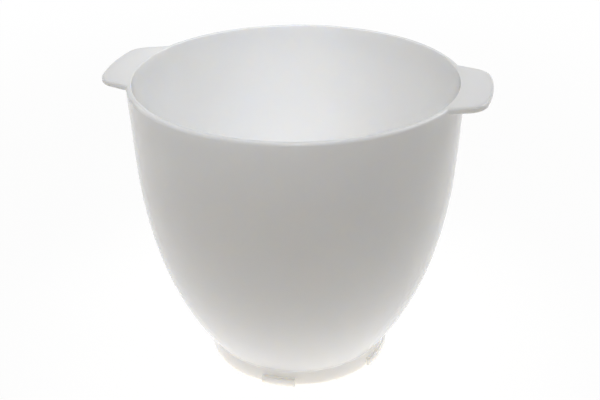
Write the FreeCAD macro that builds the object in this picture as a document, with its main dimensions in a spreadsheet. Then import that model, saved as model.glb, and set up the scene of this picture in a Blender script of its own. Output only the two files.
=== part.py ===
import FreeCAD, Part
import math
import os
import Sketcher
from FreeCAD import Placement, Rotation, Vector

# Stand mixer bowl, injection moulded in one piece.
# +Z is up, the foot stands on Z = 0, and the Z axis is the bowl's own axis.
# The two tab handles lie along X, and the narrow lugs of the foot lie near the Y axis.
# Lengths are millimetres and angles are degrees.

SIZES = [
    ("rim_diameter", 219.0, "outside of the rim"),
    ("bowl_height", 203.2, "table to the top of the rim"),
    ("wall_thickness", 3.6, "bowl wall and floor"),
    ("draft_angle", 2.8, "lean of the straight wall under the rim"),
    ("straight_wall_height", 52.0, "rim top down to where the wall starts to curve"),
    ("shoulder_level", 0.487, "shoulder's way up the curve, where its gentle arc meets the tighter one"),
    ("shoulder_fullness", 0.733, "shoulder's way out from the lower to the upper end of the curve"),
    ("foot_height", 17.5, "table to the lower end of the curve, above the foot ring"),
    ("foot_step", 4.45, "foot ring out to the lower end of the curve, seen from above"),
    ("underside_height", 6.0, "table to the bowl's underside, inside the foot"),
    ("floor_corner_radius", 24.0, "outside curve from the wall to the floor"),
    ("rim_outer_rounding", 1.8, "outer edge of the rim"),
    ("rim_inner_rounding", 0.7, "inner edge of the rim"),
    ("handle_reach", 17.25, "rim to the outer edge of a handle"),
    ("handle_thickness", 3.8, "plate of a handle"),
    ("handle_width", 80.0, "width of a handle where its sides leave the rim"),
    ("handle_side_angle", 20.3, "lean of a handle's side to its middle line"),
    ("handle_corner_radius", 16.4, "outer corners of a handle, seen from above"),
    ("handle_top_rounding", 1.4, "upper edge of a handle"),
    ("handle_under_rounding", 1.0, "lower edge of a handle"),
    ("foot_diameter", 125.5, "outside of the foot ring on the table"),
    ("foot_wall", 3.2, "wall of the foot ring on the table"),
    ("foot_draft", 2.0, "lean of the foot ring's two sides"),
    ("foot_blend_radius", 3.0, "hollow curve from the foot ring to the bowl"),
    ("foot_edge_rounding", 0.7, "bottom edges of the foot ring"),
    ("lug_reach", 2.0, "foot ring to the outer face of a lug, on the table"),
    ("lug_height", 6.5, "table to the ledge of a lug"),
    ("lug_edge_rounding", 0.6, "outer edges of a lug"),
    ("front_lug_span", 21.0, "angle covered by a narrow lug"),
    ("front_lug_bearing", -90.0, "direction of the middle of a narrow lug"),
    ("side_lug_span", 38.0, "angle covered by a wide lug"),
    ("side_lug_bearing", -9.0, "direction of the middle of a wide lug"),
    ("gate_mark_diameter", 9.0, "shallow dish left under the floor by the mould's gate"),
    ("gate_mark_depth", 0.5, "depth of that dish"),
]

# Sizes that follow from the others. A rounding never takes more than its share of its wall.
RIM_OUTER_ROUNDING = "min(sizes.rim_outer_rounding; 0.65 * sizes.wall_thickness)"
RIM_INNER_ROUNDING = "min(sizes.rim_inner_rounding; 0.25 * sizes.wall_thickness)"
HANDLE_TOP_ROUNDING = "min(sizes.handle_top_rounding; 0.65 * sizes.handle_thickness)"
HANDLE_UNDER_ROUNDING = "min(sizes.handle_under_rounding; 0.25 * sizes.handle_thickness)"
FOOT_EDGE_ROUNDING = "min(sizes.foot_edge_rounding; 0.4 * sizes.foot_wall)"
LUG_EDGE_ROUNDING = "min(sizes.lug_edge_rounding; 0.4 * sizes.lug_reach)"
# The wall's curve spans from the end of the straight wall, above, to a point beside the foot ring.
# The shoulder divides it, so the wall comes down on the ring whatever the sizes are.
CURVE_TOP = "(sizes.bowl_height - sizes.straight_wall_height)"
STRAIGHT_DROP = f"(sizes.straight_wall_height - {RIM_OUTER_ROUNDING} * (1 + sin(sizes.draft_angle)))"
CURVE_TOP_RADIUS = (
    f"(sizes.rim_diameter / 2 - {RIM_OUTER_ROUNDING} * (1 - cos(sizes.draft_angle))"
    f" - {STRAIGHT_DROP} * tan(sizes.draft_angle))"
)
CURVE_FOOT_RADIUS = "(sizes.foot_diameter / 2 + sizes.foot_step)"
SHOULDER_HEIGHT = f"sizes.foot_height + sizes.shoulder_level * ({CURVE_TOP} - sizes.foot_height)"
SHOULDER_RADIUS = (
    f"{CURVE_FOOT_RADIUS} + sizes.shoulder_fullness * ({CURVE_TOP_RADIUS} - {CURVE_FOOT_RADIUS})"
)
INNER_FLOOR = "sizes.underside_height + sizes.wall_thickness"
# A handle's plate starts on a root line that lies inside the cavity, which cuts it away later.
HANDLE_ROOT_DEPTH = "3 * sizes.wall_thickness"
HANDLE_ROOT_X = f"sqrt(sizes.rim_diameter ^ 2 - sizes.handle_width ^ 2) / 2 - {HANDLE_ROOT_DEPTH}"
HANDLE_ROOT_WIDTH = f"sizes.handle_width + 2 * {HANDLE_ROOT_DEPTH} * tan(sizes.handle_side_angle)"
HANDLE_OUTER_RADIUS = "sizes.rim_diameter / 2 + sizes.handle_reach"
# A lug starts half way through the ring's wall, and the ring runs up until it is inside the cavity.
LUG_ROOT_RADIUS = "(sizes.foot_diameter - sizes.foot_wall) / 2"
LUG_OUTER_RADIUS = "sizes.foot_diameter / 2 + sizes.lug_reach"
RING_TOP = "sizes.foot_height + sizes.wall_thickness"
# The cavity's cutter runs this far past the rim.
CUT_CLEARANCE = 5.0
# Two positions closer than this are the same.
NEAR = 1e-4

doc = FreeCAD.newDocument("stand_mixer_bowl")
sheet = doc.addObject("Spreadsheet::Sheet", "sizes")
for row, (alias, value, note) in enumerate(SIZES, 1):
    sheet.set(f"A{row}", note)
    sheet.set(f"B{row}", str(value))
    sheet.setAlias(f"B{row}", alias)
doc.recompute()


def size(alias):
    """One of the driving sizes, as a number."""
    return float(getattr(sheet, alias))


def worked_out(expression):
    """A size that follows from the others, as a number."""
    quantity = sheet.evalExpression(expression)
    return float(getattr(quantity, "Value", quantity))


def origin_plane(body, role):
    """One of the body's own origin planes."""
    return next(plane for plane in body.Origin.OriginFeatures if plane.Role == role)


def new_sketch(body, name, role):
    """An empty sketch on an origin plane: XZ_Plane for sections, XY_Plane for outlines from above."""
    sketch = body.newObject("Sketcher::SketchObject", name)
    sketch.AttachmentSupport = [(origin_plane(body, role), "")]
    sketch.MapMode = "FlatFace"
    return sketch


def line(sketch, start, end):
    """Add a straight line and return its index."""
    return sketch.addGeometry(Part.LineSegment(Vector(*start, 0), Vector(*end, 0)), False)


def arc(sketch, centre, radius, first, last):
    """Add an arc that turns anticlockwise from one angle to another, in radians."""
    circle = Part.Circle(Vector(*centre, 0), Vector(0, 0, 1), radius)
    return sketch.addGeometry(Part.ArcOfCircle(circle, first, last), False)


def hold(sketch, kind, *where):
    """Add a constraint that has no size."""
    sketch.addConstraint(Sketcher.Constraint(kind, *where))


def drive(sketch, kind, *where, by):
    """Add a constraint whose size is an expression of the sheet."""
    value = worked_out(by)
    if kind == "Angle":
        value = math.radians(value)
    index = sketch.addConstraint(Sketcher.Constraint(kind, *where, value))
    sketch.setExpression(f"Constraints[{index}]", by)


def join(sketch, kind, pairs):
    """Join the end of each element to the start of the next, meeting or tangent."""
    for before, after in pairs:
        hold(sketch, kind, before, END, after, START)


def edges(shape, test):
    """Names of the edges that pass a test."""
    return [f"Edge{number}" for number, edge in enumerate(shape.Edges, 1) if test(edge)]


def mid_point(edge):
    """The point half way along an edge."""
    return edge.valueAt((edge.FirstParameter + edge.LastParameter) / 2)


def is_circle_about_axis(edge):
    """Whether an edge is a whole circle about the bowl's axis, going by points a third of it apart."""
    third = (edge.LastParameter - edge.FirstParameter) / 3
    spots = [edge.valueAt(edge.FirstParameter + step * third) for step in range(3)]
    radii = [math.hypot(spot.x, spot.y) for spot in spots]
    heights = [spot.z for spot in spots]
    return edge.isClosed() and max(radii) - min(radii) < NEAR and max(heights) - min(heights) < NEAR


def fillet(body, name, base, names, by):
    """Round edges of the last feature by a size of the sheet."""
    feature = body.newObject("PartDesign::Fillet", name)
    feature.Base = (base, names)
    feature.setExpression("Radius", by)
    body.Tip = feature
    doc.recompute()
    return feature


def spin_pair(body, name, pad, sketch):
    """Repeat a pad on the opposite side of the bowl."""
    feature = body.newObject("PartDesign::PolarPattern", name)
    feature.Originals = [pad]
    feature.Axis = (sketch, ["N_Axis"])
    feature.Angle = 360
    feature.Occurrences = 2
    body.Tip = feature
    doc.recompute()
    return feature


# Sketcher's numbers for the ends and the centre of an element, and for the sheet's own axes.
START, END, CENTRE = range(1, 4)
ORIGIN, V_AXIS = range(-1, -3, -1)


def lean(top, bottom):
    """Angle between the vertical and the line through two points of a section."""
    return math.atan((top[0] - bottom[0]) / (top[1] - bottom[1]))


def wall_section(inset):
    """Centres, radii and joints of the wall's arcs, moved inwards by an inset, for drawing them."""
    draft = math.radians(size("draft_angle"))
    rounding = worked_out(RIM_OUTER_ROUNDING)
    rim_centre = (size("rim_diameter") / 2 - rounding, size("bowl_height") - rounding)
    curve_top = (worked_out(CURVE_TOP_RADIUS), worked_out(CURVE_TOP))
    shoulder = (worked_out(SHOULDER_RADIUS), worked_out(SHOULDER_HEIGHT))
    curve_foot = (worked_out(CURVE_FOOT_RADIUS), size("foot_height"))
    # A chord leans by the mean of the slopes at its two ends, which gives the slope at the shoulder.
    turn = 2 * lean(curve_top, shoulder) - draft
    upper = (curve_top[1] - shoulder[1]) / (math.sin(turn) - math.sin(draft))
    upper_centre = (curve_top[0] - upper * math.cos(draft), curve_top[1] + upper * math.sin(draft))
    lower = math.dist(shoulder, curve_foot) / (2 * math.sin(lean(shoulder, curve_foot) - turn))
    lower_centre = (shoulder[0] - lower * math.cos(turn), shoulder[1] + lower * math.sin(turn))
    corner = size("floor_corner_radius")
    corner_height = size("underside_height") + corner
    drop = lower_centre[1] - corner_height
    corner_centre = (lower_centre[0] + math.sqrt((lower - corner) ** 2 - drop**2), corner_height)
    corner_turn = math.asin(drop / (lower - corner))
    return {
        "rim": (rim_centre, rounding, -draft, math.pi / 2),
        "upper": (upper_centre, upper - inset, -turn, -draft),
        "lower": (lower_centre, lower - inset, -corner_turn, -turn),
        "corner": (corner_centre, corner - inset, -math.pi / 2, -corner_turn),
    }


def on_arc(parts, end):
    """The start or the end of an arc given by its centre, radius and two angles."""
    (across, up), radius, first, last = parts
    angle = first if end == START else last
    return (across + radius * math.cos(angle), up + radius * math.sin(angle))


body = doc.addObject("PartDesign::Body", "mixer_bowl")
body.Label = "mixer_bowl"

# Outside of the bowl: floor, corner, lower wall, upper wall, straight wall, rounded rim.
outer = new_sketch(body, "outer_section", "XZ_Plane")
section = wall_section(0.0)
floor_start = (0.0, size("underside_height"))
top_end = (0.0, size("bowl_height"))
floor_line = line(outer, floor_start, on_arc(section["corner"], START))
corner_arc = arc(outer, *section["corner"])
lower_arc = arc(outer, *section["lower"])
upper_arc = arc(outer, *section["upper"])
wall_line = line(outer, on_arc(section["upper"], END), on_arc(section["rim"], START))
rim_arc = arc(outer, *section["rim"])
top_line = line(outer, on_arc(section["rim"], END), top_end)
axis_line = line(outer, top_end, floor_start)
smooth = [floor_line, corner_arc, lower_arc, upper_arc, wall_line, rim_arc, top_line]
join(outer, "Tangent", zip(smooth, smooth[1:]))
join(outer, "Coincident", [(top_line, axis_line), (axis_line, floor_line)])
hold(outer, "Horizontal", floor_line)
hold(outer, "Horizontal", top_line)
hold(outer, "PointOnObject", floor_line, START, V_AXIS)
hold(outer, "PointOnObject", top_line, END, V_AXIS)
drive(outer, "DistanceY", ORIGIN, START, floor_line, START, by="sizes.underside_height")
drive(outer, "DistanceY", ORIGIN, START, top_line, END, by="sizes.bowl_height")
drive(outer, "Radius", corner_arc, by="sizes.floor_corner_radius")
drive(outer, "Radius", rim_arc, by=RIM_OUTER_ROUNDING)
drive(outer, "DistanceX", ORIGIN, START, rim_arc, CENTRE, by=f"sizes.rim_diameter / 2 - {RIM_OUTER_ROUNDING}")
drive(outer, "Angle", wall_line, by="(90 - sizes.draft_angle) * 1 deg")
drive(outer, "DistanceY", ORIGIN, START, wall_line, START, by=CURVE_TOP)
drive(outer, "DistanceX", ORIGIN, START, lower_arc, END, by=SHOULDER_RADIUS)
drive(outer, "DistanceY", ORIGIN, START, lower_arc, END, by=SHOULDER_HEIGHT)
# The lower arc runs through a point beside the foot ring.
beside_foot = outer.addGeometry(Part.Point(Vector(worked_out(CURVE_FOOT_RADIUS), size("foot_height"), 0)), True)
hold(outer, "PointOnObject", beside_foot, START, lower_arc)
drive(outer, "DistanceX", ORIGIN, START, beside_foot, START, by=CURVE_FOOT_RADIUS)
drive(outer, "DistanceY", ORIGIN, START, beside_foot, START, by="sizes.foot_height")
outside = body.newObject("PartDesign::Revolution", "outside")
outside.Profile = outer
outside.ReferenceAxis = (outer, ["V_Axis"])
outside.Angle = 360
doc.recompute()

# Foot ring: a short tapered tube that runs up into the bowl wall.
foot = new_sketch(body, "foot_section", "XZ_Plane")
foot_out = size("foot_diameter") / 2
foot_in = foot_out - size("foot_wall")
foot_top = worked_out(RING_TOP)
foot_lean = foot_top * math.tan(math.radians(size("foot_draft")))
foot_corners = [(foot_in, 0.0), (foot_out, 0.0), (foot_out + foot_lean, foot_top), (foot_in - foot_lean, foot_top)]
foot_lines = [line(foot, *pair) for pair in zip(foot_corners, foot_corners[1:] + foot_corners[:1])]
foot_base, foot_outer, foot_lid, foot_inner = foot_lines
join(foot, "Coincident", zip(foot_lines, foot_lines[1:] + foot_lines[:1]))
hold(foot, "Horizontal", foot_base)
hold(foot, "Horizontal", foot_lid)
hold(foot, "PointOnObject", foot_base, END, ORIGIN)
drive(foot, "DistanceX", ORIGIN, START, foot_base, END, by="sizes.foot_diameter / 2")
drive(foot, "DistanceX", foot_base, START, foot_base, END, by="sizes.foot_wall")
drive(foot, "DistanceY", ORIGIN, START, foot_outer, END, by=RING_TOP)
drive(foot, "Angle", foot_outer, by="(90 - sizes.foot_draft) * 1 deg")
drive(foot, "Angle", foot_base, START, foot_inner, END, by="(90 + sizes.foot_draft) * 1 deg")
ring = body.newObject("PartDesign::Revolution", "foot_ring")
ring.Profile = foot
ring.ReferenceAxis = (foot, ["V_Axis"])
ring.Angle = 360
body.Tip = ring
doc.recompute()

ring_base_edges = edges(ring.Shape, lambda e: is_circle_about_axis(e) and abs(mid_point(e).z) < NEAR)
ring_base = fillet(body, "ring_base_edges", ring, ring_base_edges, FOOT_EDGE_ROUNDING)


def is_ring_root(edge):
    """Whether an edge is the circle where the outside of the ring meets the bowl."""
    spot = mid_point(edge)
    on_ring = foot_out + spot.z * math.tan(math.radians(size("foot_draft")))
    off_ring = abs(math.hypot(spot.x, spot.y) - on_ring)
    return is_circle_about_axis(edge) and spot.z > size("underside_height") and off_ring < NEAR


ring_root_edges = edges(ring_base.Shape, is_ring_root)
fillet(body, "ring_root", ring_base, ring_root_edges, "sizes.foot_blend_radius")


def lug_pair(name):
    """A bayonet lug and its twin on the opposite side of the foot ring."""
    sketch = new_sketch(body, f"{name}_outline", "XY_Plane")
    half = math.radians(size(f"{name}_span") / 2)
    inside = worked_out(LUG_ROOT_RADIUS)
    reach = worked_out(LUG_OUTER_RADIUS)
    outer_arc = arc(sketch, (0, 0), reach, -half, half)
    inner_arc = arc(sketch, (0, 0), inside, -half, half)
    ends = {}
    for side in (-1, 1):
        direction = (math.cos(half), side * math.sin(half))
        ends[side] = line(sketch, [inside * part for part in direction], [reach * part for part in direction])
    for curve in (outer_arc, inner_arc):
        hold(sketch, "Coincident", curve, CENTRE, ORIGIN, START)
    for side, corner in ((-1, START), (1, END)):
        hold(sketch, "Coincident", ends[side], START, inner_arc, corner)
        hold(sketch, "Coincident", ends[side], END, outer_arc, corner)
        hold(sketch, "PointOnObject", ORIGIN, START, ends[side])
    hold(sketch, "Symmetric", outer_arc, START, outer_arc, END, ORIGIN)
    drive(sketch, "Radius", outer_arc, by=LUG_OUTER_RADIUS)
    drive(sketch, "Radius", inner_arc, by=LUG_ROOT_RADIUS)
    drive(sketch, "Angle", outer_arc, by=f"sizes.{name}_span * 1 deg")
    sketch.AttachmentOffset = Placement(Vector(), Rotation(size(f"{name}_bearing"), 0, 0))
    sketch.setExpression("AttachmentOffset.Rotation.Yaw", f"sizes.{name}_bearing * 1 deg")
    pad = body.newObject("PartDesign::Pad", name)
    pad.Profile = sketch
    pad.setExpression("Length", "sizes.lug_height")
    body.Tip = pad
    doc.recompute()
    return spin_pair(body, f"{name}s", pad, sketch)


lug_pair("front_lug")
lugs = lug_pair("side_lug")


def is_lug_edge(edge):
    """Whether an edge lies on the outer face of a lug, away from the ring."""
    spot = mid_point(edge)
    off_face = abs(math.hypot(spot.x, spot.y) - worked_out(LUG_OUTER_RADIUS))
    return spot.z < size("lug_height") + NEAR and off_face < NEAR


fillet(body, "lug_edges", lugs, edges(lugs.Shape, is_lug_edge), LUG_EDGE_ROUNDING)

# Tab handles: flat plates flush with the rim, with straight converging sides and an outer edge
# that is part of a circle about the bowl's axis.
tabs = doc.addObject("PartDesign::Body", "handle_plates")
tab = new_sketch(tabs, "handle_outline", "XY_Plane")
tab_out = worked_out(HANDLE_OUTER_RADIUS)
tab_corner = size("handle_corner_radius")
tab_lean = math.radians(size("handle_side_angle"))
root_x = worked_out(HANDLE_ROOT_X)
root_y = worked_out(HANDLE_ROOT_WIDTH) / 2
# The corner's centre lies one corner radius inside both the side line and the outer circle.
side_offset = root_x * math.sin(tab_lean) + root_y * math.cos(tab_lean) - tab_corner
corner_bearing = math.pi / 2 - tab_lean - math.acos(side_offset / (tab_out - tab_corner))
corner_x = (tab_out - tab_corner) * math.cos(corner_bearing)
corner_y = (tab_out - tab_corner) * math.sin(corner_bearing)
side_x = corner_x + tab_corner * math.sin(tab_lean)
side_y = corner_y + tab_corner * math.cos(tab_lean)
outer_edge = arc(tab, (0, 0), tab_out, -corner_bearing, corner_bearing)
left_corner = arc(tab, (corner_x, corner_y), tab_corner, corner_bearing, math.pi / 2 - tab_lean)
left_side = line(tab, (side_x, side_y), (root_x, root_y))
root_line = line(tab, (root_x, root_y), (root_x, -root_y))
right_side = line(tab, (root_x, -root_y), (side_x, -side_y))
right_corner = arc(tab, (corner_x, -corner_y), tab_corner, tab_lean - math.pi / 2, -corner_bearing)
tangent_run = [right_side, right_corner, outer_edge, left_corner, left_side]
join(tab, "Tangent", zip(tangent_run, tangent_run[1:]))
join(tab, "Coincident", [(left_side, root_line), (root_line, right_side)])
hold(tab, "Coincident", outer_edge, CENTRE, ORIGIN, START)
hold(tab, "Symmetric", left_side, END, right_side, START, ORIGIN)
hold(tab, "Equal", left_corner, right_corner)
drive(tab, "Radius", outer_edge, by=HANDLE_OUTER_RADIUS)
drive(tab, "Radius", left_corner, by="sizes.handle_corner_radius")
drive(tab, "DistanceX", ORIGIN, START, root_line, START, by=HANDLE_ROOT_X)
drive(tab, "DistanceY", root_line, END, root_line, START, by=HANDLE_ROOT_WIDTH)
drive(tab, "Angle", right_side, by="sizes.handle_side_angle * 1 deg")
drive(tab, "Angle", root_line, START, left_side, END, by="(90 - sizes.handle_side_angle) * 1 deg")
tab.AttachmentOffset = Placement(Vector(0, 0, size("bowl_height") - size("handle_thickness")), Rotation())
tab.setExpression("AttachmentOffset.Base.z", "sizes.bowl_height - sizes.handle_thickness")
tab_pad = tabs.newObject("PartDesign::Pad", "handle")
tab_pad.Profile = tab
tab_pad.setExpression("Length", "sizes.handle_thickness")
tabs.Tip = tab_pad
doc.recompute()
plates = spin_pair(tabs, "handle_pair", tab_pad, tab)


def is_tab_outline(edge, height):
    """Whether an edge runs round a plate at a given height, apart from its buried root."""
    spot = mid_point(edge)
    level = edge.BoundBox.ZLength < NEAR and abs(spot.z - height) < NEAR
    return level and abs(abs(spot.x) - root_x) > NEAR


tab_top = size("bowl_height")
tab_under = tab_top - size("handle_thickness")
top_edges = edges(plates.Shape, lambda e: is_tab_outline(e, tab_top))
rounded_tops = fillet(tabs, "handle_top_edges", plates, top_edges, HANDLE_TOP_ROUNDING)
under_edges = edges(rounded_tops.Shape, lambda e: is_tab_outline(e, tab_under))
fillet(tabs, "handle_under_edges", rounded_tops, under_edges, HANDLE_UNDER_ROUNDING)
handles = body.newObject("PartDesign::Boolean", "handles")
handles.setObjects([tabs])
handles.Type = "Fuse"
body.Tip = handles
doc.recompute()

# Cavity: the outer section's curves moved inwards by the wall, about the same centres.
inner = new_sketch(body, "cavity_section", "XZ_Plane")
section = wall_section(size("wall_thickness"))
cut_top = size("bowl_height") + CUT_CLEARANCE
inner_floor = (0.0, worked_out(INNER_FLOOR))
wall_foot = on_arc(section["upper"], END)
wall_lean = (cut_top - wall_foot[1]) * math.tan(math.radians(size("draft_angle")))
wall_head = (wall_foot[0] + wall_lean, cut_top)
for curve in (corner_arc, lower_arc, upper_arc):
    inner.addExternal(outer.Name, f"Edge{curve + 1}")
outer_curves = [-3, -4, -5]
inner_floor_line = line(inner, inner_floor, on_arc(section["corner"], START))
inner_curves = [arc(inner, *section[part]) for part in ("corner", "lower", "upper")]
inner_wall = line(inner, wall_foot, wall_head)
cut_line = line(inner, wall_head, (0.0, cut_top))
inner_axis = line(inner, (0.0, cut_top), inner_floor)
smooth = [inner_floor_line, *inner_curves, inner_wall]
join(inner, "Tangent", zip(smooth, smooth[1:]))
join(inner, "Coincident", [(inner_wall, cut_line), (cut_line, inner_axis), (inner_axis, inner_floor_line)])
for curve, outer_curve in zip(inner_curves, outer_curves):
    hold(inner, "Coincident", curve, CENTRE, outer_curve, CENTRE)
hold(inner, "Horizontal", inner_floor_line)
hold(inner, "Horizontal", cut_line)
hold(inner, "PointOnObject", inner_floor_line, START, V_AXIS)
hold(inner, "PointOnObject", cut_line, END, V_AXIS)
drive(inner, "DistanceY", ORIGIN, START, inner_floor_line, START, by=INNER_FLOOR)
drive(inner, "Angle", inner_wall, by="(90 - sizes.draft_angle) * 1 deg")
drive(inner, "DistanceY", ORIGIN, START, cut_line, END, by=f"sizes.bowl_height + {CUT_CLEARANCE}")
cavity = body.newObject("PartDesign::Groove", "cavity")
cavity.Profile = inner
cavity.ReferenceAxis = (inner, ["V_Axis"])
cavity.Angle = 360
body.Tip = cavity
doc.recompute()


def is_inner_rim(edge):
    """Whether an edge is the inner circle of the rim."""
    return is_circle_about_axis(edge) and abs(mid_point(edge).z - tab_top) < NEAR


rim_edges = edges(cavity.Shape, is_inner_rim)
rim = fillet(body, "rim_inner_edge", cavity, rim_edges, RIM_INNER_ROUNDING)

# Gate mark: a shallow round dish in the middle of the underside.
gate = new_sketch(body, "gate_mark_outline", "XY_Plane")
gate_circle = gate.addGeometry(Part.Circle(Vector(), Vector(0, 0, 1), size("gate_mark_diameter") / 2), False)
hold(gate, "Coincident", gate_circle, CENTRE, ORIGIN, START)
drive(gate, "Diameter", gate_circle, by="sizes.gate_mark_diameter")
gate.AttachmentOffset = Placement(Vector(0, 0, size("underside_height")), Rotation())
gate.setExpression("AttachmentOffset.Base.z", "sizes.underside_height")
gate_mark = body.newObject("PartDesign::Pocket", "gate_mark")
gate_mark.Profile = gate
gate_mark.Reversed = True
gate_mark.setExpression("Length", "sizes.gate_mark_depth")
body.Tip = gate_mark
doc.recompute()

# Nothing is written unless every object is sound and both cuts took material away.
for item in doc.Objects:
    if "Invalid" in item.State or "Error" in item.State:
        raise RuntimeError(f"{item.Name} failed: {item.State}")
shape = body.Shape
if shape.isNull() or not shape.isValid() or len(shape.Solids) != 1:
    raise RuntimeError("mixer_bowl is not one valid solid")
solid_volume = handles.Shape.Volume
if cavity.Shape.Volume > 0.5 * solid_volume:
    raise RuntimeError("the cavity was not cut")
if gate_mark.Shape.Volume >= rim.Shape.Volume:
    raise RuntimeError("the gate mark was not cut")

os.makedirs("parts", exist_ok=True)
shape.exportStep(f"parts/{body.Label}.step")
box = shape.optimalBoundingBox()
print(f"mixer_bowl {box.XLength:.1f} x {box.YLength:.1f} x {box.ZLength:.1f} mm, {shape.Volume / 1000:.1f} cm3")
print(f"brimful volume {(solid_volume - cavity.Shape.Volume) / 1e6:.2f} l")
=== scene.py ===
# %% [markdown]
# # The bowl of a stand mixer
# The real bowl is one injection moulding in glossy white plastic: wall, rim, two tab handles,
# foot ring and bayonet lugs come out of one mould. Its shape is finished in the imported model,
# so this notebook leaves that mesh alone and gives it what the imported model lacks: a finish, a
# paper floor, light and a camera. Lengths are metres, and the foot stands on Z = 0.

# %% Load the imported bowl
import math

import bpy
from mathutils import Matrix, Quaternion, Vector


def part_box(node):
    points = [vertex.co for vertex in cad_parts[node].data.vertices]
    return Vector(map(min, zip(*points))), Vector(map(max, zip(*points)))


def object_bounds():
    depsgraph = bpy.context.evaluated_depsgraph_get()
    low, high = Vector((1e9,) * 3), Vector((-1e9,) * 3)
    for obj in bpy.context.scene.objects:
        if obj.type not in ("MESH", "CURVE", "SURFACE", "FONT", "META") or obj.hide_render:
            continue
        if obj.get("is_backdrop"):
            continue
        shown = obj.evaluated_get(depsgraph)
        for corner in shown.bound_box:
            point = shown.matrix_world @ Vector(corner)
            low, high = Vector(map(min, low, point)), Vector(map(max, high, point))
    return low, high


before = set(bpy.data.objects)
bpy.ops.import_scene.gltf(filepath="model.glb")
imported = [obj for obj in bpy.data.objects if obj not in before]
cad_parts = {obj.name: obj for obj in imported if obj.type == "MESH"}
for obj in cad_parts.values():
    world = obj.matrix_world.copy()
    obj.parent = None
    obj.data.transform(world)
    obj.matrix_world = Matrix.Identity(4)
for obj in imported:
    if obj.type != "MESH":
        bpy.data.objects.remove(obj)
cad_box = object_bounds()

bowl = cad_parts["mixer_bowl"]
lowest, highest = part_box("mixer_bowl")
bowl_size = [round(side, 4) for side in highest - lowest]
print("bowl:", len(bowl.data.polygons), "faces, size", bowl_size)

# %% [markdown]
# ## The camera
# A product photographer stands back a little and looks down into the bowl. The lens, the spot
# and the tilt below put the rim, the handles and the foot where the photograph has them.
# The bowl keeps its own axes, so the camera walks round it instead of the bowl being turned.

# %% The camera's place and lens
CAMERA_SPOT = Vector((0.13187, -0.58624, 0.42364))
CAMERA_AIM = Vector((0.00201, 0.00044, 0.11151))
CAMERA_ROLL = math.radians(-0.42)
LENS_MM = 58.62
SENSOR_MM = 36.0

camera = bpy.data.objects.new("camera", bpy.data.cameras.new("camera"))
camera.data.lens = LENS_MM
camera.data.sensor_width = SENSOR_MM
camera.data.sensor_fit = "HORIZONTAL"
camera.location = CAMERA_SPOT
camera.rotation_mode = "QUATERNION"
look = (CAMERA_AIM - CAMERA_SPOT).to_track_quat("-Z", "Y")
camera.rotation_quaternion = look @ Quaternion((0, 0, 1), CAMERA_ROLL)
bpy.context.scene.collection.objects.link(camera)
bpy.context.scene.camera = camera
print("camera is", round((CAMERA_AIM - CAMERA_SPOT).length, 3), "m from the bowl")

# %% [markdown]
# ## Helpers for shader nodes
# Every finish below is a small network of nodes. Two helpers keep the cells short: one adds a
# node and fills in its sockets, and one makes an empty group with named sockets.

# %% Add a node, start a group
def add_node(tree, kind, sockets=None, **settings):
    """A new node, with settings by attribute and socket values by name or number."""
    node = tree.nodes.new(kind)
    for name, value in settings.items():
        setattr(node, name, value)
    for socket, value in (sockets or {}).items():
        if isinstance(value, bpy.types.NodeSocket):
            tree.links.new(value, node.inputs[socket])
        else:
            node.inputs[socket].default_value = value
    return node


def start_group(name, inputs, outputs):
    """An empty shader group, with its input and output nodes."""
    group = bpy.data.node_groups.new(name, "ShaderNodeTree")
    for label, kind in inputs:
        group.interface.new_socket(label, in_out="INPUT", socket_type=kind)
    for label, kind in outputs:
        group.interface.new_socket(label, in_out="OUTPUT", socket_type=kind)
    return group, group.nodes.new("NodeGroupInput"), group.nodes.new("NodeGroupOutput")


# %% [markdown]
# ## Patchy tone, a group for both materials
# No large surface is one even colour. Moulded plastic is a shade deeper where it cooled
# slowly, and paper has cloudy patches. Soft noise gives both: the group takes the size of a
# patch in metres and puts out a mask from 0 to 1.

# %% Build the patchy tone group
FLOAT, VECTOR = "NodeSocketFloat", "NodeSocketVector"
PATCH_DETAIL = 2.0
PATCH_FROM, PATCH_TO = 0.32, 0.68


def noise_of_size(tree, vector, size, detail):
    """Noise whose lumps have a given size in metres, centred on 0.5."""
    scale = add_node(tree, "ShaderNodeMath", {0: 1.0, 1: size}, operation="DIVIDE")
    sockets = {"Vector": vector, "Scale": scale.outputs[0], "Detail": detail}
    return add_node(tree, "ShaderNodeTexNoise", sockets).outputs[0]


patchy_tone, entry, leave = start_group(
    "patchy_tone", [("Vector", VECTOR), ("Patch Size", FLOAT)], [("Mask", FLOAT)]
)
patches = noise_of_size(patchy_tone, entry.outputs["Vector"], entry.outputs["Patch Size"], PATCH_DETAIL)
spread = {"Value": patches, "From Min": PATCH_FROM, "From Max": PATCH_TO}
mask = add_node(patchy_tone, "ShaderNodeMapRange", spread, interpolation_type="SMOOTHSTEP")
patchy_tone.links.new(mask.outputs[0], leave.inputs["Mask"])
print("group", patchy_tone.name, "has", len(patchy_tone.nodes), "nodes")

# %% [markdown]
# ## Fine relief, a group for both materials
# Close up, polished plastic has the slow ripple that moulders call orange peel, and paper has
# its fibres. Both are two layers of noise, a broad one and a fine one, added with a share
# for the fine layer. The group puts out a height, which a Bump node in the material turns
# into a normal.

# %% Build the fine relief group
FINE_LAYER = 0.22
BROAD_DETAIL, FINE_DETAIL = 1.0, 3.0

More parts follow.
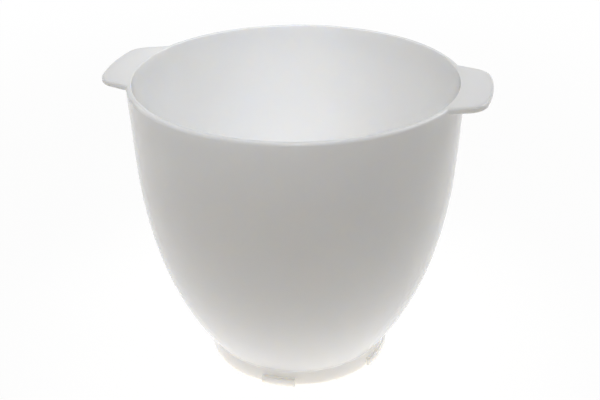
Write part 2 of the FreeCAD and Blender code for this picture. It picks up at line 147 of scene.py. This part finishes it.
fine_relief, entry, leave = start_group(
    "fine_relief",
    [("Vector", VECTOR), ("Grain Size", FLOAT), ("Fine Share", FLOAT)],
    [("Height", FLOAT)],
)
grain = entry.outputs["Grain Size"]
broad = noise_of_size(fine_relief, entry.outputs["Vector"], grain, BROAD_DETAIL)
smaller = add_node(fine_relief, "ShaderNodeMath", {0: grain, 1: FINE_LAYER}, operation="MULTIPLY")
fine = noise_of_size(fine_relief, entry.outputs["Vector"], smaller.outputs[0], FINE_DETAIL)
mix = {0: entry.outputs["Fine Share"], 2: broad, 3: fine}
height = add_node(fine_relief, "ShaderNodeMix", mix, data_type="FLOAT")
fine_relief.links.new(height.outputs[0], leave.inputs["Height"])
print("group", fine_relief.name, "has", len(fine_relief.nodes), "nodes")

# %% [markdown]
# ## The plastic
# The bowl is thin white plastic with a polished skin. Such plastic isn't quite opaque: light
# sinks in and leaves again about a centimetre further on, and red light travels furthest. So
# the outside glows softly and a little warm with the light that stands in the bowl. The tone
# and the roughness drift in hand-sized patches, and the orange peel bends the reflections.

# %% The white plastic
PLASTIC_LIGHT = (0.935, 0.935, 0.930, 1.0)
PLASTIC_DEEP = (0.922, 0.921, 0.912, 1.0)
PLASTIC_PATCH = 0.055
PLASTIC_GRAIN = 0.0035
PEEL_DEPTH = 0.000008
PEEL_FINE_SHARE = 0.12
ROUGH_LOW, ROUGH_HIGH = 0.11, 0.16
PLASTIC_IOR = 1.5
LIGHT_DEPTH = 0.010
RED_GREEN_BLUE_DEPTH = (1.0, 0.90, 0.75)


def group_node(tree, group, sockets):
    """A copy of a shared group inside a material."""
    return add_node(tree, "ShaderNodeGroup", sockets, node_tree=group)


def white_plastic():
    """Glossy white moulded plastic for the whole bowl."""
    material = bpy.data.materials.new("white_plastic")
    material.use_nodes = True
    tree = material.node_tree
    shader = tree.nodes["Principled BSDF"]
    place = add_node(tree, "ShaderNodeTexCoord").outputs["Object"]
    patch = group_node(tree, patchy_tone, {"Vector": place, "Patch Size": PLASTIC_PATCH}).outputs["Mask"]
    tones = {0: patch, 6: PLASTIC_LIGHT, 7: PLASTIC_DEEP}
    colour = add_node(tree, "ShaderNodeMix", tones, data_type="RGBA").outputs[2]
    drift = {"Value": patch, "To Min": ROUGH_LOW, "To Max": ROUGH_HIGH}
    rough = add_node(tree, "ShaderNodeMapRange", drift).outputs[0]
    relief = {"Vector": place, "Grain Size": PLASTIC_GRAIN, "Fine Share": PEEL_FINE_SHARE}
    peel = group_node(tree, fine_relief, relief)
    bump = {"Height": peel.outputs["Height"], "Distance": PEEL_DEPTH}
    normal = add_node(tree, "ShaderNodeBump", bump).outputs["Normal"]
    tree.links.new(colour, shader.inputs["Base Color"])
    tree.links.new(rough, shader.inputs["Roughness"])
    tree.links.new(normal, shader.inputs["Normal"])
    shader.inputs["IOR"].default_value = PLASTIC_IOR
    shader.inputs["Subsurface Weight"].default_value = 1.0
    shader.inputs["Subsurface Radius"].default_value = RED_GREEN_BLUE_DEPTH
    shader.inputs["Subsurface Scale"].default_value = LIGHT_DEPTH
    return material


plastic = white_plastic()
bowl.data.materials.clear()
bowl.data.materials.append(plastic)
print("bowl's finish:", [slot.name for slot in bowl.material_slots])

# %% [markdown]
# ## White where the camera looks
# A packshot has a pure white ground. Lighting the paper until it burns out would burn out the
# bowl too, so the paper and the sky simply glow at a strength of 1 for rays that come from
# the camera, from a glossy surface or through glass. Rays that carry light see plain paper.

# %% A mask for rays that see the background
def seen_directly(tree):
    """1 for camera, glossy and transmission rays, 0 for the rest."""
    path = add_node(tree, "ShaderNodeLightPath").outputs
    pair = {0: path["Is Camera Ray"], 1: path["Is Glossy Ray"]}
    first = add_node(tree, "ShaderNodeMath", pair, operation="MAXIMUM").outputs[0]
    pair = {0: first, 1: path["Is Transmission Ray"]}
    return add_node(tree, "ShaderNodeMath", pair, operation="MAXIMUM").outputs[0]


# %% [markdown]
# ## The paper floor
# The bowl stands on a wide sheet of matt white paper. It is a round sheet, so that no
# straight edge shows from any side. Most of what the camera sees of it is the white glow, and
# the rest is real paper, which keeps the soft shadow that ties the bowl to the ground.
#
# A glow painted into the paper stands in for a lamp under it: the paper itself gives out a pool of light
# round the foot. It is weaker beneath the bowl's floor, which would glow otherwise, and it fades out a
# hand's width from the bowl. The painted glow lights the foot and the lower wall as a lit table does.
#
# Far from the bowl there is no shadow to keep. There the sheet is plain white, and it meets the
# white tent without a line.

# %% Model the sheet
SHEET_RADIUS = 3.0
SHEET_SIDES = 96


def round_sheet():
    """A flat disc of paper that the foot ring stands on."""
    turn = math.tau / SHEET_SIDES
    corners = [i * turn for i in range(SHEET_SIDES)]
    rim = [(SHEET_RADIUS * math.cos(at), SHEET_RADIUS * math.sin(at), 0.0) for at in corners]
    mesh = bpy.data.meshes.new("paper_floor")
    mesh.from_pydata(rim, [], [tuple(range(SHEET_SIDES))])
    return bpy.data.objects.new("paper_floor", mesh)


floor = round_sheet()
bpy.context.scene.collection.objects.link(floor)
floor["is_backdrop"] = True

# %% The paper's finish
PAPER_LIGHT = (0.90, 0.88, 0.85, 1.0)
PAPER_DEEP = (0.88, 0.86, 0.83, 1.0)
PAPER_PATCH = 0.06
PAPER_GRAIN = 0.0015
FIBRE_DEPTH = 0.00005
FIBRE_FINE_SHARE = 0.5
WHITE_SHARE = 0.96
PLAIN_FROM, PLAIN_TO = 0.4, 1.0
HOLE_EDGE, RING_EDGE = 0.036, 0.054
HOLE_SHARE = 0.40
POOL_FULL, POOL_EDGE = 0.105, 0.28
POOL_LIGHT = 0.71
POOL_COLOUR = (1.0, 0.975, 0.94, 1.0)


def distance_fade(tree, away, near, far, at_near, at_far):
    """A value that runs smoothly from one distance from the bowl's axis to another."""
    fade = {"Value": away, "From Min": near, "From Max": far, "To Min": at_near, "To Max": at_far}
    return add_node(tree, "ShaderNodeMapRange", fade, interpolation_type="SMOOTHSTEP").outputs[0]


def painted_table_glow(tree, away):
    """Glow painted into the paper in place of a lamp under it: weaker under the bowl, bright round the
    foot, then fading.
    """
    outer = distance_fade(tree, away, POOL_FULL, POOL_EDGE, POOL_LIGHT, 0.0)
    inner = distance_fade(tree, away, HOLE_EDGE, RING_EDGE, HOLE_SHARE, 1.0)
    strength = add_node(tree, "ShaderNodeMath", {0: outer, 1: inner}, operation="MULTIPLY").outputs[0]
    return add_node(tree, "ShaderNodeEmission", {"Color": POOL_COLOUR, "Strength": strength}).outputs[0]


def white_paper():
    """Matt paper that looks white to the camera and keeps a share of its shadow."""
    material = bpy.data.materials.new("white_paper")
    material.use_nodes = True
    tree = material.node_tree
    tree.nodes.remove(tree.nodes["Principled BSDF"])
    place = add_node(tree, "ShaderNodeTexCoord").outputs["Object"]
    patch = group_node(tree, patchy_tone, {"Vector": place, "Patch Size": PAPER_PATCH}).outputs["Mask"]
    tones = {0: patch, 6: PAPER_LIGHT, 7: PAPER_DEEP}
    colour = add_node(tree, "ShaderNodeMix", tones, data_type="RGBA").outputs[2]
    relief = {"Vector": place, "Grain Size": PAPER_GRAIN, "Fine Share": FIBRE_FINE_SHARE}
    fibre = group_node(tree, fine_relief, relief)
    bump = {"Height": fibre.outputs["Height"], "Distance": FIBRE_DEPTH}
    normal = add_node(tree, "ShaderNodeBump", bump).outputs["Normal"]
    paper = add_node(tree, "ShaderNodeBsdfDiffuse", {"Color": colour, "Normal": normal}).outputs[0]
    away = add_node(tree, "ShaderNodeVectorMath", {0: place}, operation="LENGTH").outputs["Value"]
    # The paper's painted glow, a pool of light round the foot, is added to the lit paper.
    lit = {0: paper, 1: painted_table_glow(tree, away)}
    lit_paper = add_node(tree, "ShaderNodeAddShader", lit).outputs[0]
    glow = add_node(tree, "ShaderNodeEmission").outputs[0]
    white_share = distance_fade(tree, away, PLAIN_FROM, PLAIN_TO, WHITE_SHARE, 1.0)
    share = {0: seen_directly(tree), 1: white_share}
    factor = add_node(tree, "ShaderNodeMath", share, operation="MULTIPLY").outputs[0]
    both = add_node(tree, "ShaderNodeMixShader", {0: factor, 1: lit_paper, 2: glow}).outputs[0]
    tree.links.new(both, tree.nodes["Material Output"].inputs["Surface"])
    return material


floor.data.materials.append(white_paper())
print("floor:", SHEET_RADIUS * 2, "m wide")

# %% [markdown]
# ## The light tent
# White cloth hangs round the table. To the camera it is plain white. As a light it is very
# dim, because its job is only to lift the shadows that the lamps leave.

# %% The tent
TENT_LIGHT = 0.02

world = bpy.data.worlds.new("light_tent")
world.use_nodes = True
tree = world.node_tree
tree.nodes.clear()
cloth = add_node(tree, "ShaderNodeBackground", {"Color": (1, 1, 1, 1), "Strength": TENT_LIGHT}).outputs[0]
white = add_node(tree, "ShaderNodeBackground", {"Color": (1, 1, 1, 1), "Strength": 1.0}).outputs[0]
tent = add_node(tree, "ShaderNodeMixShader", {0: seen_directly(tree), 1: cloth, 2: white}).outputs[0]
add_node(tree, "ShaderNodeOutputWorld", {"Surface": tent})
bpy.context.scene.world = world
bpy.context.scene.view_settings.view_transform = "Standard"
print("tent strength", TENT_LIGHT)

# %% [markdown]
# ## The lamps
# Softboxes are placed by bearing and height as seen from the camera: bearing 0 is behind the
# camera, 90 is to its right and 180 is beyond the bowl.

# %% Softboxes round the table
MIDDLE = Vector((0.0, 0.0, 0.1))
BOX_REACH = 1.5
CAMERA_BEARING = math.degrees(math.atan2(CAMERA_SPOT.y, CAMERA_SPOT.x))
LAMPS = [  # name, bearing, height in degrees, side in metres, watts
    ("top_box", 0, 88, 1.2, 4.9),
    ("left_box", -90, 12, 1.0, 1.8),
    ("high_left_box", -70, 35, 0.8, 1.4),
    ("right_box", 67, 33, 0.8, 1.6),
    ("back_right_box", 125, 40, 0.8, 6.9),
    ("back_left_box", -125, 40, 0.8, 2.5),
]


def hang_lamp(name, data, bearing, height, reach, target):
    """Put a lamp at a bearing and a height round a target, facing the target."""
    lamp = bpy.data.objects.new(name, data)
    turn = math.radians(CAMERA_BEARING + bearing)
    rise = math.radians(height)
    way = Vector((math.cos(rise) * math.cos(turn), math.cos(rise) * math.sin(turn), math.sin(rise)))
    lamp.location = target + reach * way
    lamp.rotation_mode = "QUATERNION"
    lamp.rotation_quaternion = (-way).to_track_quat("-Z", "Y")
    bpy.context.scene.collection.objects.link(lamp)


def softbox(name, bearing, height, side, watts):
    """A square lamp that faces the bowl."""
    data = bpy.data.lights.new(name, "AREA")
    data.size = side
    data.energy = watts
    hang_lamp(name, data, bearing, height, BOX_REACH, MIDDLE)


for lamp in LAMPS:
    softbox(*lamp)
print(len(LAMPS), "softboxes,", sum(lamp[-1] for lamp in LAMPS), "W in all")

# %% [markdown]
# A deep bowl swallows light, so three small spotlights over the camera shine into it. A cone
# fades to nothing at its edge, so no ring of light shows inside. Each spot is aimed at a place
# on the far inside wall: how far to the camera's right, how far back, and how high.

# %% Spotlights into the bowl
SPOT_REACH = 1.2
SPOT_RADIUS = 0.05
SPOT_FADE = 1.0
AHEAD = Quaternion((0, 0, 1), math.radians(CAMERA_BEARING + 90))
SPOTS = [  # name, bearing, height in degrees, aim in metres, cone in degrees, watts
    ("wide_spot", 0, 44, (0.0, 0.085, 0.138), 15.0, 15.5),
    ("left_spot", 0, 42, (-0.03, 0.09, 0.145), 12.0, 14.8),
    ("high_spot", 0, 50, (0.0, 0.10, 0.17), 9.0, 8.5),
]


def bowl_spot(name, bearing, height, aim, cone, watts):
    """A narrow lamp over the camera, aimed at the far inside wall."""
    data = bpy.data.lights.new(name, "SPOT")
    data.energy = watts
    data.spot_size = math.radians(cone)
    data.spot_blend = SPOT_FADE
    data.shadow_soft_size = SPOT_RADIUS
    hang_lamp(name, data, bearing, height, SPOT_REACH, AHEAD @ Vector(aim))


for spot in SPOTS:
    bowl_spot(*spot)
print(len(SPOTS), "spots,", sum(spot[-1] for spot in SPOTS), "W in all")

# %% [markdown]
# ## The two boxes
# The imported bowl's box and the box of everything shown, floor aside, are printed side by side.

# %% Print the two boxes
boxes = {"cad": cad_box, "visual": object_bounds()}
boxes = {name: [list(corner) for corner in box] for name, box in boxes.items()}
print("boxes:", boxes)
